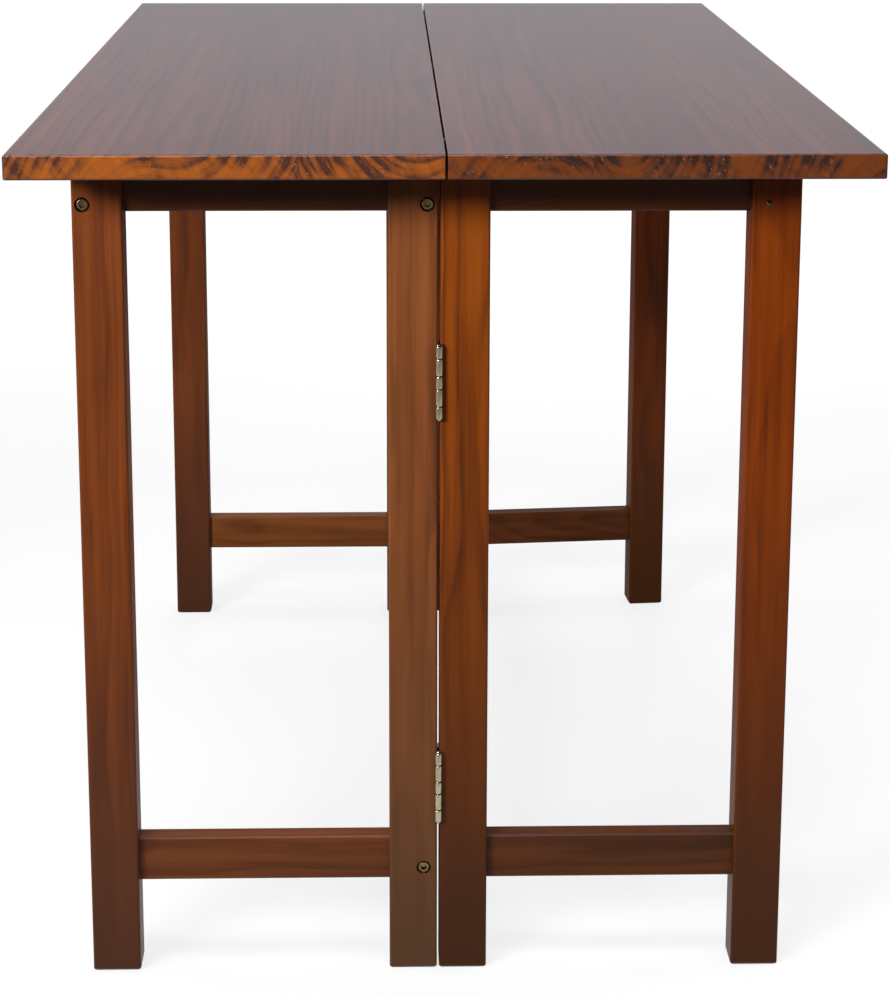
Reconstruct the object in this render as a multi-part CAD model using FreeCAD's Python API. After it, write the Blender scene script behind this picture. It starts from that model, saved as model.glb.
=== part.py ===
import FreeCAD, Part
import math
import os

from FreeCAD import Vector

# Folding console table. A console 350 mm deep carries a second leaf of the same size.
# The leaf opens over the seam onto two gates, one at each end, which swing on butt hinges
# and fold flat against the outer faces of the end frames.
#
# Frame of the model: millimetres, +Z up, origin on the floor under the middle of the open tabletop.
# X runs across the table: the console is on the -X side of the seam, the leaf and its gates on the +X side.
# Y runs along the table: the near end is at -Y, the far end at +Y.

os.makedirs("parts", exist_ok=True)

# ---------------------------------------------------------------- driving dimensions

# Tabletop: two boards that meet at a seam over x = 0
table_length = 1200.0
table_width = 700.0
table_height = 750.0
top_thickness = 20.5
seam_gap = 1.6
edge_round = 2.5
corner_round = 3.0
seam_round = 1.1

# Where the frames stand under the top
end_overhang = 104.3        # end of the top to the outer face of the end frames
console_side_overhang = 40.5
leaf_side_overhang = 50.0
joint_offset = 3.5          # the joint between console and gates lies this far from the seam
leg_gap = 1.8               # between the facing sides of a console leg and a gate leg

# Timber sections
leg_width = 42.0
leg_depth = 34.5
leg_ease = 2.2
foot_chamfer = 2.5
rail_thickness = 20.0
rail_setback = 8.0          # outer face of the legs to the face of the end rails and stretchers
rail_ease = 1.5
end_rail_height = 45.0
stretcher_height = 40.0
stretcher_clearance = 83.3  # floor to the end stretchers
long_rail_height = 76.0
long_rail_thickness = 18.0
low_rail_height = 40.0
low_rail_thickness = 20.0
low_rail_centre = 96.5      # height of the low long rail's middle
low_rail_setback = 1.8      # joint side of the inner legs to the side of the low long rail

# Glued joints of the end frames and gates
tenon_thickness = 9.0
tenon_length = 22.0
tenon_shoulder = 6.0        # rail left above and below each tenon
tenon_fit = 0.1
hole_relief = 0.8           # extra depth of a mortise or a blind hole

# Bolted joints of the long rails
bolt_radius = 3.0
bolt_head_radius = 5.0
bolt_head_height = 6.0
bolt_head_chamfer = 0.5
bolt_socket_width = 5.0
bolt_socket_depth = 3.2
bolt_hole_radius = 3.5
bolt_pocket_radius = 6.5
bolt_head_sink = 1.2        # face of the leg to the face of the bolt's head
barrel_nut_radius = 5.0
barrel_nut_length = 14.0
barrel_nut_setback = 28.0   # end of a long rail to the axis of its barrel nut
barrel_nut_fit = 0.15
bolt_past_nut = 9.0         # axis of the nut to the end of the bolt
thread_fit = 0.05
dowel_radius = 4.0
dowel_length = 30.0
dowel_spread = 24.0         # dowel to bolt, in the tall long rails
low_dowel_radius = 3.0
low_dowel_spread = 12.5
dowel_fit = 0.1

# Screws that hold the console's top down
top_screw_radius = 2.2
top_screw_head_radius = 4.2
top_screw_head_height = 2.6
top_screw_bite = 14.0       # length of screw inside the top
top_screw_grip = 22.0       # timber between the screw's head and the top
top_screw_pocket_radius = 4.7
top_screw_spread = 520.0    # between the two screws of a long rail
screw_fit = 0.1

# Butt hinges of the gates
hinge_length = 64.0
hinge_leaf_width = 24.0     # pin axis to the leaf's inner edge
hinge_leaf_thickness = 1.5
hinge_leaf_gap = 0.3
hinge_knuckle_radius = 3.25
hinge_wide_knuckle = 14.8
hinge_knuckle_gap = 0.35
hinge_pin_radius = 1.5
hinge_pin_fit = 0.05
hinge_pin_head_radius = 2.5
hinge_pin_head_height = 1.7
hinge_pin_head_gap = 0.1
hinge_swing_clearance = 0.3
lower_hinge_height = 142.0
upper_hinge_drop = 157.5         # top of the gate's inner leg to the top of its upper hinge
hinge_screw_radius = 1.75
hinge_screw_length = 16.0
hinge_screw_outer_row = 9.0      # pin axis to the two outer screws
hinge_screw_middle_row = 17.0    # pin axis to the middle screw
hinge_screw_end = 10.0           # end of the hinge to its outer screws
gate_top_clearance = 0.5         # top of the gates to the underside of the leaf
far_gate_rest_angle = 5.0        # the far gate stands this far open

# Concealed hinges in the edges of the seam
fold_gap = 0.5              # between the two boards when the leaf is folded over
fold_hinge_count = 3
fold_hinge_end = 110.0      # end of the top to the first hinge
barrel_radius = 7.0
barrel_length = 20.0
barrel_depth = 8.5          # top surface to the barrel's axis
barrel_fit = 0.1
link_inner_radius = 4.6
link_outer_radius = 9.0
link_thickness = 2.0
link_side_gap = 0.08
link_slot_clearance = 0.3
link_reach = 50.0           # degrees that a link enters the opposite board
middle_link_overlap = 12.0  # degrees by which a middle link overlaps its neighbours when folded
link_slot_margin = 6.0      # degrees from a middle link's tip to the end of its slot
link_root = 7.0             # degrees of a link's root inside its own barrel

# Domed tack that keeps a folded gate off the console's leg
tack_drop = 37.0            # top of the gate's outer leg to the tack
tack_inset = 28.0           # outer side of that leg to the tack
tack_head_radius = 2.6
tack_head_height = 1.8
tack_shank_radius = 0.8
tack_shank_length = 12.0

# Small round parts, and the holes that they fill, have flats in place of a round
shown_sides = 12            # bolts, knuckles, pin heads, barrels and tacks
hidden_sides = 8            # dowels, nuts, screws and their holes

# ---------------------------------------------------------------- places worked out from them

X_AXIS = Vector(1, 0, 0)
Y_AXIS = Vector(0, 1, 0)
Z_AXIS = Vector(0, 0, 1)
ORIGIN = Vector(0, 0, 0)
beyond = 1.0                # how far a cutting shape runs past the face that it opens

underside = table_height - top_thickness
outer_face_y = -(table_length / 2 - end_overhang)
inner_face_y = outer_face_y + leg_depth
console_outer_x = -(table_width / 2 - console_side_overhang)
console_joint_x = -joint_offset - leg_gap / 2
console_middle_x = (console_outer_x + console_joint_x) / 2
gate_joint_x = -joint_offset + leg_gap / 2
gate_outer_x = table_width / 2 - leaf_side_overhang
gate_top = underside - gate_top_clearance
upper_hinge_height = gate_top - upper_hinge_drop - hinge_length
rail_outer_y = outer_face_y + rail_setback
rail_middle_y = rail_outer_y + rail_thickness / 2

pin_x = -joint_offset
pin_y = outer_face_y - hinge_knuckle_radius - hinge_swing_clearance
hinge_screw_head_radius = hinge_screw_radius + hinge_leaf_thickness

fold_axis_z = table_height + fold_gap / 2
barrel_axis_z = table_height - barrel_depth
middle_link_reach = 90 - link_reach + middle_link_overlap
link_slot_end = middle_link_reach + link_slot_margin


# ---------------------------------------------------------------- shapes

def block(low, high):
    """A box between two corners."""
    return Part.makeBox(high.x - low.x, high.y - low.y, high.z - low.z, low)


def runs_along(edge, direction):
    """Whether an edge is straight and parallel to a direction, at least at its middle."""
    middle = (edge.FirstParameter + edge.LastParameter) / 2
    return abs(edge.tangentAt(middle).dot(direction)) > 0.999


def planed_bar(low, high, direction):
    """A sawn rail whose four arrises along one direction are planed off."""
    bar = block(low, high)
    return bar.makeChamfer(rail_ease, [edge for edge in bar.Edges if runs_along(edge, direction)])


def ring(radius, distance, sides):
    """The corners of a regular polygon round +Z."""
    turn = 2 * math.pi / sides
    return [Vector(radius * math.cos(i * turn), radius * math.sin(i * turn), distance) for i in range(sides)]


def facetted(points, start, direction, sides=hidden_sides):
    """A small turned part with flats, from (distance along its axis, radius) points."""
    rings = [ring(radius, distance, sides) for distance, radius in points]
    outlines = [rings[0][::-1], rings[-1]]
    for first, second in zip(rings, rings[1:]):
        outlines += [[first[i - 1], first[i], second[i], second[i - 1]] for i in range(sides)]
    faces = [Part.Face(Part.makePolygon(corners + corners[:1])) for corners in outlines]
    solid = Part.Solid(Part.Shell(faces))
    solid.Placement = FreeCAD.Placement(start, FreeCAD.Rotation(Z_AXIS, direction))
    return solid


def facetted_bar(radius, start, end, sides=hidden_sides):
    """A small round bar, or the hole for one, with flats."""
    along = end - start
    return facetted([(0, radius), (along.Length, radius)], start, along, sides)


def mirrored(shapes):
    """The same shape, or list of shapes, at the other end of the table."""
    if isinstance(shapes, list):
        return [mirrored(shape) for shape in shapes]
    return shapes.mirror(ORIGIN, Y_AXIS)


def save(name, shapes):
    """Writes one node: a single solid, or a group of separate identical ones."""
    shape = Part.makeCompound(shapes) if isinstance(shapes, list) else shapes
    shape.exportStep(os.path.join("parts", name + ".step"))


# ---------------------------------------------------------------- tabletop

def eased_board(low, high, direction, seam_x, ease):
    """A block whose four edges along one direction are rounded, less so where they lie on the seam."""
    bar = block(low, high)
    for on_seam, radius in ((False, ease), (True, seam_round)):
        edges = [edge for edge in bar.Edges if runs_along(edge, direction)]
        edges = [edge for edge in edges if (abs(edge.CenterOfMass.x - seam_x) < seam_gap) == on_seam]
        if edges:
            bar = bar.makeFillet(radius, edges)
    return bar


def board(seam_x, free_x):
    """One half of the top, eased all round its upper and lower faces and at its four corners."""
    low = Vector(min(seam_x, free_x), -table_length / 2, underside)
    high = Vector(max(seam_x, free_x), table_length / 2, table_height)
    half = eased_board(low, high, Y_AXIS, seam_x, edge_round)
    half = half.common(eased_board(low, high, X_AXIS, seam_x, edge_round))
    return half.common(eased_board(low, high, Z_AXIS, seam_x, corner_round))


# ---------------------------------------------------------------- concealed hinges

def fold_hinge_places():
    """Where the concealed hinges lie along the seam."""
    reach = table_length - 2 * fold_hinge_end
    return [-reach / 2 + i * reach / (fold_hinge_count - 1) for i in range(fold_hinge_count)]


def in_seam_edge(side, y, fit=0.0):
    """A hinge barrel, or the bore for it, in a seam edge; side is -1 in the console, +1 in the leaf."""
    mouth = Vector(side * seam_gap / 2, y, barrel_axis_z)
    end = mouth + X_AXIS * side * (barrel_length + fit)
    return facetted_bar(barrel_radius + fit, mouth, end, shown_sides)


def curved_plate(start, end, y_low, thickness, inner, outer):
    """A flat plate that curves about the fold axis between two angles, in degrees from +X towards +Z."""
    plate = Part.makeCylinder(outer, thickness, ORIGIN, Z_AXIS, end - start)
    if inner > 0:
        plate = plate.cut(Part.makeCylinder(inner, thickness))
    plate.rotate(ORIGIN, Z_AXIS, start)
    plate.rotate(ORIGIN, X_AXIS, 90)
    plate.translate(Vector(0, y_low + thickness, fold_axis_z))
    return plate


def link(start, end, y_low):
    """A curved link."""
    return curved_plate(start, end, y_low, link_thickness, link_inner_radius, link_outer_radius)


def barrel_with_link(side, y, y_low):
    """A slotted barrel and the curved link that is one piece with it and reaches over the seam."""
    slot_width = 3 * link_thickness + 2 * link_side_gap + 2 * link_slot_clearance
    slot_end = -90 + side * link_slot_end
    slot = curved_plate(
        min(slot_end, -90),
        max(slot_end, -90),
        y - slot_width / 2,
        slot_width,
        0,
        link_outer_radius + link_slot_clearance,
    )
    root = slot_end + side * link_root
    tip = -90 - side * link_reach
    arm = link(min(root, tip), max(root, tip), y_low)
    far_end = Vector(barrel_length, y, barrel_axis_z)
    passage = facetted_bar(barrel_radius, far_end - X_AXIS * 2 * barrel_length, far_end, shown_sides)
    return in_seam_edge(side, y).cut(slot).fuse(arm.common(passage)).removeSplitter()


def fold_hinges():
    """Console halves, leaf halves and middle links of all the concealed hinges."""
    pitch = link_thickness + link_side_gap
    console_halves, leaf_halves, middle_links = [], [], []
    for y in fold_hinge_places():
        middle = y - link_thickness / 2
        console_halves.append(barrel_with_link(-1, y, middle - pitch))
        leaf_halves.append(barrel_with_link(1, y, middle + pitch))
        middle_links.append(link(-90 - middle_link_reach, -90 + middle_link_reach, middle))
    return console_halves, leaf_halves, middle_links


# ---------------------------------------------------------------- end frames and gates

def tenon(x_low, x_high, bottom, height, fit=0.0):
    """The tenons of a rail, or a mortise where a fit is given."""
    half = tenon_thickness / 2 + fit
    low = Vector(x_low, rail_middle_y - half, bottom + tenon_shoulder - fit)
    high = Vector(x_high, rail_middle_y + half, bottom + height - tenon_shoulder + fit)
    return block(low, high)


def cross_rail(x_low, x_high, bottom, height):
    """A rail between two legs, with a tenon at each end."""
    low = Vector(x_low, rail_outer_y, bottom)
    high = Vector(x_high, rail_outer_y + rail_thickness, bottom + height)
    body = planed_bar(low, high, X_AXIS)
    return body.fuse(tenon(x_low - tenon_length, x_high + tenon_length, bottom, height))


def leg(x_low, top, rails, rail_side):
    """A leg with the mortises of its rails; rail_side is +1 where the rails leave towards +X."""
    low = Vector(x_low, outer_face_y, 0)
    high = Vector(x_low + leg_width, inner_face_y, top)
    post = block(low, high)
    post = post.makeChamfer(foot_chamfer, [e for e in post.Edges if e.BoundBox.ZMax < 1])
    post = post.makeFillet(leg_ease, [e for e in post.Edges if runs_along(e, Z_AXIS)])
    rail_face = high.x if rail_side > 0 else low.x
    floor = rail_face - rail_side * (tenon_length + hole_relief)
    for bottom, height in rails:
        post = post.cut(tenon(min(rail_face, floor), max(rail_face, floor), bottom, height, tenon_fit))
    return post


def end_frame(x_low, x_high, top):
    """Left leg, right leg, top rail and stretcher of an end frame or a gate."""
    rails = [(top - end_rail_height, end_rail_height), (stretcher_clearance, stretcher_height)]
    left = leg(x_low, top, rails, 1)
    right = leg(x_high - leg_width, top, rails, -1)
    top_rail, stretcher = [cross_rail(x_low + leg_width, x_high - leg_width, *rail) for rail in rails]
    return left, right, top_rail, stretcher


# ---------------------------------------------------------------- long rails and their bolts

class LongRail:
    """One of the console's three rails along Y, with the bolt, nut and dowels of its near end."""

    def __init__(self, x_low, thickness, middle_z, height, dowel_size, spread):
        self.low = Vector(x_low, inner_face_y, middle_z - height / 2)
        self.high = Vector(x_low + thickness, -inner_face_y, middle_z + height / 2)
        self.x = x_low + thickness / 2
        self.z = middle_z
        self.dowel_size = dowel_size
        self.spread = spread
        self.head_face = outer_face_y + bolt_head_sink
        self.seat = self.head_face + bolt_head_height
        self.nut_y = inner_face_y + barrel_nut_setback
        self.bolt_end = self.nut_y + bolt_past_nut

    def at(self, y, rise=0.0):
        """A point on the rail's middle line, or above it."""
        return Vector(self.x, y, self.z + rise)

    def bolt(self):
        """A socket-head bolt from its pocket in the leg to just past the barrel nut."""
        body = facetted(
            [
                (0, bolt_head_radius - bolt_head_chamfer),
                (bolt_head_chamfer, bolt_head_radius),
                (bolt_head_height, bolt_head_radius),
                (bolt_head_height, bolt_radius),
                (self.bolt_end - self.head_face, bolt_radius),
            ],
            self.at(self.head_face),
            Y_AXIS,
            shown_sides,
        )
        across_corners = bolt_socket_width / math.sqrt(3)
        socket_floor = self.at(self.head_face + bolt_socket_depth)
        return body.cut(facetted_bar(across_corners, self.at(outer_face_y), socket_floor, 6))

    def nut(self):
        """A barrel nut across the rail, with its cross hole."""
        half = X_AXIS * barrel_nut_length / 2
        body = facetted_bar(barrel_nut_radius, self.at(self.nut_y) - half, self.at(self.nut_y) + half)
        reach = barrel_nut_radius + beyond
        hole_start, hole_end = self.at(self.nut_y - reach), self.at(self.nut_y + reach)
        return body.cut(facetted_bar(bolt_radius + thread_fit, hole_start, hole_end, shown_sides))

    def dowels(self, fit=0.0, relief=0.0):
        """The two locating dowels, or their holes where fit and relief are given."""
        half = dowel_length / 2 + relief
        return [
            facetted_bar(
                self.dowel_size + fit,
                self.at(inner_face_y - half, rise),
                self.at(inner_face_y + half, rise),
            )
            for rise in (-self.spread, self.spread)
        ]

    def cut_leg(self, post):
        """Cuts the bolt's pocket, its hole and the dowel holes in a leg."""
        mouth, seat = self.at(outer_face_y - beyond), self.at(self.seat)
        pocket = facetted_bar(bolt_pocket_radius, mouth, seat, shown_sides)
        hole = facetted_bar(bolt_hole_radius, seat, self.at(inner_face_y + beyond))
        return post.cut([pocket, hole] + self.dowels(dowel_fit, hole_relief))

    def rail(self):
        """The rail itself, drilled alike at both ends; its nuts go in from the console's middle."""
        body = planed_bar(self.low, self.high, Y_AXIS)
        inwards = 1 if self.x < console_middle_x else -1
        mouth_x = (self.high.x if inwards > 0 else self.low.x) + inwards * beyond
        floor_x = self.x - inwards * (barrel_nut_length / 2 + barrel_nut_fit)
        bolt_mouth, bolt_floor = self.at(inner_face_y - beyond), self.at(self.bolt_end + hole_relief)
        nut_mouth, nut_floor = Vector(mouth_x, self.nut_y, self.z), Vector(floor_x, self.nut_y, self.z)
        near_cuts = self.dowels(dowel_fit, hole_relief) + [
            facetted_bar(bolt_hole_radius, bolt_mouth, bolt_floor),
            facetted_bar(barrel_nut_radius + barrel_nut_fit, nut_floor, nut_mouth),
        ]
        return body.cut(near_cuts + mirrored(near_cuts))


top_rail_middle = underside - long_rail_height / 2
outer_long_rail = LongRail(
    console_outer_x,
    long_rail_thickness,
    top_rail_middle,
    long_rail_height,
    dowel_radius,
    dowel_spread,
)
inner_long_rail = LongRail(
    console_joint_x - long_rail_thickness,
    long_rail_thickness,
    top_rail_middle,
    long_rail_height,
    dowel_radius,
    dowel_spread,
)
low_long_rail = LongRail(
    console_joint_x - low_rail_setback - low_rail_thickness,
    low_rail_thickness,
    low_rail_centre,
    low_rail_height,
    low_dowel_radius,
    low_dowel_spread,
)
long_rails = [outer_long_rail, inner_long_rail, low_long_rail]


# ---------------------------------------------------------------- screws of the top

def top_screw_seats():
    """Where the heads of the top's screws bear: one in each end rail and two in each long rail."""
    seat_z = underside - top_screw_grip
    seats = []
    for side in (-1, 1):
        seats.append(Vector(console_middle_x, side * rail_middle_y, seat_z))
        for rail in (outer_long_rail, inner_long_rail):
            seats.append(Vector(rail.x, side * top_screw_spread / 2, seat_z))
    return seats


def top_screw(seat):
    """A pan-head screw that points up."""
    length = top_screw_grip + top_screw_bite
    return facetted(
        [
            (-top_screw_head_height, top_screw_head_radius * 0.6),
            (0, top_screw_head_radius),
            (0, top_screw_radius),
            (length - 2 * top_screw_radius, top_screw_radius),
            (length, top_screw_radius / 5),
        ],
        seat,
        Z_AXIS,
    )


def top_screw_holes():
    """The pockets under the screws' heads and the holes that run on into the top."""
    holes = []
    for seat in top_screw_seats():
        mouth = Vector(seat.x, seat.y, underside - long_rail_height - beyond)
        end = seat + Z_AXIS * (top_screw_grip + top_screw_bite + hole_relief)
        holes += [
            facetted_bar(top_screw_pocket_radius, mouth, seat),
            facetted_bar(top_screw_radius + screw_fit, seat, end),
        ]
    return holes


# ---------------------------------------------------------------- butt hinges

def knuckle_spans(bottom):
    """Lowest and highest level of the five knuckles: narrow, wide, narrow, wide, narrow."""
    narrow = (hinge_length - 2 * hinge_wide_knuckle - 4 * hinge_knuckle_gap) / 3
    spans = []
    for height in (narrow, hinge_wide_knuckle, narrow, hinge_wide_knuckle, narrow):
        spans.append((bottom, bottom + height))
        bottom += height + hinge_knuckle_gap
    return spans


def on_pin(z):
    """A point on the pin's axis."""
    return Vector(pin_x, pin_y, z)


def hinge_plate_face(side):
    """The face of a hinge leaf that meets the other leaf; side is -1 on the console, +1 on the gate."""
    return pin_x + side * hinge_leaf_gap / 2


def hinge_screw_places(bottom, side):
    """Where the three screws of a hinge leaf enter it."""
    rows = [
        (hinge_screw_outer_row, hinge_screw_end),
        (hinge_screw_middle_row, hinge_length / 2),
        (hinge_screw_outer_row, hinge_length - hinge_screw_end),
    ]
    return [Vector(hinge_plate_face(side), pin_y + row, bottom + rise) for row, rise in rows]


def hinge_bed(bottom, side, fit=0.0):
    """The plate of a hinge leaf, or the shallow bed for it in a leg where a fit is given."""
    face = hinge_plate_face(side)
    back = face + side * hinge_leaf_thickness
    low = Vector(min(face, back), pin_y, bottom - fit)
    high = Vector(max(face, back), pin_y + hinge_leaf_width + fit, bottom + hinge_length + fit)
    return block(low, high)


def hinge_leaf(bottom, side):
    """A leaf with its own knuckles; the console's leaf has the three narrow ones."""
    leaf = hinge_bed(bottom, side)
    own = 0 if side < 0 else 1
    room = hinge_knuckle_radius + hinge_swing_clearance
    for number, (low, high) in enumerate(knuckle_spans(bottom)):
        if number % 2 == own:
            knuckle = facetted_bar(hinge_knuckle_radius, on_pin(low), on_pin(high), shown_sides)
            leaf = leaf.fuse(knuckle)
        else:
            gap = Vector(room, room, hinge_knuckle_gap)
            leaf = leaf.cut(block(on_pin(low) - gap, on_pin(high) + gap))
    across_corners = (hinge_pin_radius + hinge_pin_fit) / math.cos(math.pi / hidden_sides)
    holes = [facetted_bar(across_corners, on_pin(bottom - beyond), on_pin(bottom + hinge_length + beyond))]
    wide = hinge_screw_head_radius + screw_fit
    for place in hinge_screw_places(bottom, side):
        cone = [(-beyond, wide + beyond), (hinge_leaf_thickness, wide - hinge_leaf_thickness)]
        holes.append(facetted(cone, place, X_AXIS * side))
    return leaf.cut(holes)


def hinge_pin(bottom):
    """A round pin with a domed head at each end."""
    reach = hinge_pin_head_gap
    pin = Part.makeCylinder(hinge_pin_radius, hinge_length + 2 * reach, on_pin(bottom - reach), Z_AXIS)
    dome = [
        (0, hinge_pin_head_radius),
        (hinge_pin_head_height * 0.5, hinge_pin_head_radius),
        (hinge_pin_head_height, hinge_pin_head_radius * 0.5),
    ]
    heads = [
        facetted(dome, on_pin(bottom + hinge_length + reach), Z_AXIS, shown_sides),
        facetted(dome, on_pin(bottom - reach), -Z_AXIS, shown_sides),
    ]
    return pin.fuse(heads)


def hinge_screws(bottom, side):
    """The three countersunk screws of a hinge leaf, their heads flush with it."""
    profile = [
        (0, hinge_screw_head_radius),
        (hinge_leaf_thickness, hinge_screw_radius),
        (hinge_screw_length, hinge_screw_radius / 3),
    ]
    return [facetted(profile, place, X_AXIS * side) for place in hinge_screw_places(bottom, side)]


def hinge_housing(bottom, side):
    """What a hinge takes out of a leg: the bed of its leaf and the pilot holes of its screws."""
    depth = X_AXIS * side * (hinge_screw_length + hole_relief)
    holes = [
        facetted_bar(hinge_screw_radius + screw_fit, place, place + depth)
        for place in hinge_screw_places(bottom, side)
    ]
    return [hinge_bed(bottom, side, screw_fit)] + holes


# ---------------------------------------------------------------- tack

tack_place = Vector(gate_outer_x - tack_inset, outer_face_y, gate_top - tack_drop)


def tack():
    """A small domed tack in the outer face of the gate's outer leg."""
    return facetted(
        [
            (-tack_head_height, tack_head_radius * 0.4),
            (-tack_head_height * 0.5, tack_head_radius * 0.85),
            (0, tack_head_radius),
            (0, tack_shank_radius),
            (tack_shank_length, tack_shank_radius / 3),
        ],
        tack_place,
        Y_AXIS,
        shown_sides,
    )


def tack_hole():
    """The hole that the tack's shank fills."""
    return facetted_bar(
        tack_shank_radius + thread_fit,
        tack_place - Y_AXIS * beyond,
        tack_place + Y_AXIS * (tack_shank_length + hole_relief),
        shown_sides,
    )


# ---------------------------------------------------------------- the near end

def near_end():
    """Every piece of the near end: those of the console, and those that swing with the gate."""
    hinges = {"lower": lower_hinge_height, "upper": upper_hinge_height}

    outer_leg, inner_leg, top_rail, stretcher = end_frame(console_outer_x, console_joint_x, underside)
    outer_leg = outer_long_rail.cut_leg(outer_leg)
    inner_leg = low_long_rail.cut_leg(inner_long_rail.cut_leg(inner_leg))
    gate_inner, gate_outer, gate_rail, gate_stretcher = end_frame(gate_joint_x, gate_outer_x, gate_top)
    for bottom in hinges.values():
        inner_leg = inner_leg.cut(hinge_housing(bottom, -1))
        gate_inner = gate_inner.cut(hinge_housing(bottom, 1))

    console = {
        "console_outer_leg": outer_leg,
        "console_inner_leg": inner_leg,
        "console_end_rail": top_rail.cut(top_screw_holes()),
        "console_end_stretcher": stretcher,
        "frame_bolts": [rail.bolt() for rail in long_rails],
        "console_hinge_screws": [s for bottom in hinges.values() for s in hinge_screws(bottom, -1)],
    }
    gate = {
        "gate_inner_leg": gate_inner,
        "gate_outer_leg": gate_outer.cut(tack_hole()),
        "gate_end_rail": gate_rail,
        "gate_stretcher": gate_stretcher,
        "gate_hinge_screws": [s for bottom in hinges.values() for s in hinge_screws(bottom, 1)],
        "gate_tack": tack(),
    }
    for level, bottom in hinges.items():
        console[level + "_hinge_console_leaf"] = hinge_leaf(bottom, -1)
        console[level + "_hinge_pin"] = hinge_pin(bottom)
        gate[level + "_hinge_gate_leaf"] = hinge_leaf(bottom, 1)
    return console, gate


def swung_open(shapes):
    """The far gate's pieces, turned outwards about their pin to where the gate stands at rest."""
    if isinstance(shapes, list):
        return [swung_open(shape) for shape in shapes]
    return shapes.rotated(Vector(pin_x, -pin_y, 0), Z_AXIS, far_gate_rest_angle)


# ---------------------------------------------------------------- build and write

console_halves, leaf_halves, middle_links = fold_hinges()
console_bores = [in_seam_edge(-1, y, barrel_fit) for y in fold_hinge_places()]
leaf_bores = [in_seam_edge(1, y, barrel_fit) for y in fold_hinge_places()]
save("console_top", board(-seam_gap / 2, -table_width / 2).cut(console_bores + top_screw_holes()))
save("flip_leaf", board(seam_gap / 2, table_width / 2).cut(leaf_bores))
save("fold_hinge_console_halves", console_halves)
save("fold_hinge_leaf_halves", leaf_halves)
save("fold_hinge_middle_links", middle_links)

save("outer_long_rail", outer_long_rail.rail().cut(top_screw_holes()))
save("inner_long_rail", inner_long_rail.rail().cut(top_screw_holes()))
save("low_long_rail", low_long_rail.rail())
near_dowels = [dowel for rail in long_rails for dowel in rail.dowels()]
near_nuts = [rail.nut() for rail in long_rails]
save("long_rail_dowels", near_dowels + mirrored(near_dowels))
save("barrel_nuts", near_nuts + mirrored(near_nuts))
save("top_screws", [top_screw(seat) for seat in top_screw_seats()])

near_console, near_gate = near_end()
for name, shapes in near_console.items():
    save("near_" + name, shapes)
    save("far_" + name, mirrored(shapes))
for name, shapes in near_gate.items():
    save("near_" + name, shapes)
    save("far_" + name, swung_open(mirrored(shapes)))
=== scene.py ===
import math

import bmesh
import bpy
from mathutils import Matrix, Vector


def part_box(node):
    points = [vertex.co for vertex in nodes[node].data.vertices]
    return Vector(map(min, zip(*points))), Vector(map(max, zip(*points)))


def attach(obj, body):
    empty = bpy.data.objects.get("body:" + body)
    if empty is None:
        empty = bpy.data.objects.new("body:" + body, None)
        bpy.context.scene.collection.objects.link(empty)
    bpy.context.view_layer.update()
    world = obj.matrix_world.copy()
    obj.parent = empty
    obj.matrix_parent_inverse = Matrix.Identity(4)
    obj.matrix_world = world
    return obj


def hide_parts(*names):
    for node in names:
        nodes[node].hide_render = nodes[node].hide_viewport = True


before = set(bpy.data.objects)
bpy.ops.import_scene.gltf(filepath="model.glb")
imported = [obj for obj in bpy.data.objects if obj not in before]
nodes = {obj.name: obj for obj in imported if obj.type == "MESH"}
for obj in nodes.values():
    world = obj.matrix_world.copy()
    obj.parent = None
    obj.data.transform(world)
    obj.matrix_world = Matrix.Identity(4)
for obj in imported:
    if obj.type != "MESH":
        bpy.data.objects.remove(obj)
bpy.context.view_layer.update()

MM = 0.001
ENDS = ("near_", "far_")
LEVELS = ("lower", "upper")
LONG_RAILS = ("outer_long_rail", "inner_long_rail", "low_long_rail")
QUARTER_TURN = math.pi / 2


def middle_of(name):
    """The middle of a CAD node's box."""
    low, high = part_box(name)
    return (low + high) / 2


def dress(name, material):
    """Gives a CAD node its material."""
    for slot in nodes[name].material_slots:
        slot.material = material


# ---------------------------------------------------------------- shader nodes

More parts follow.
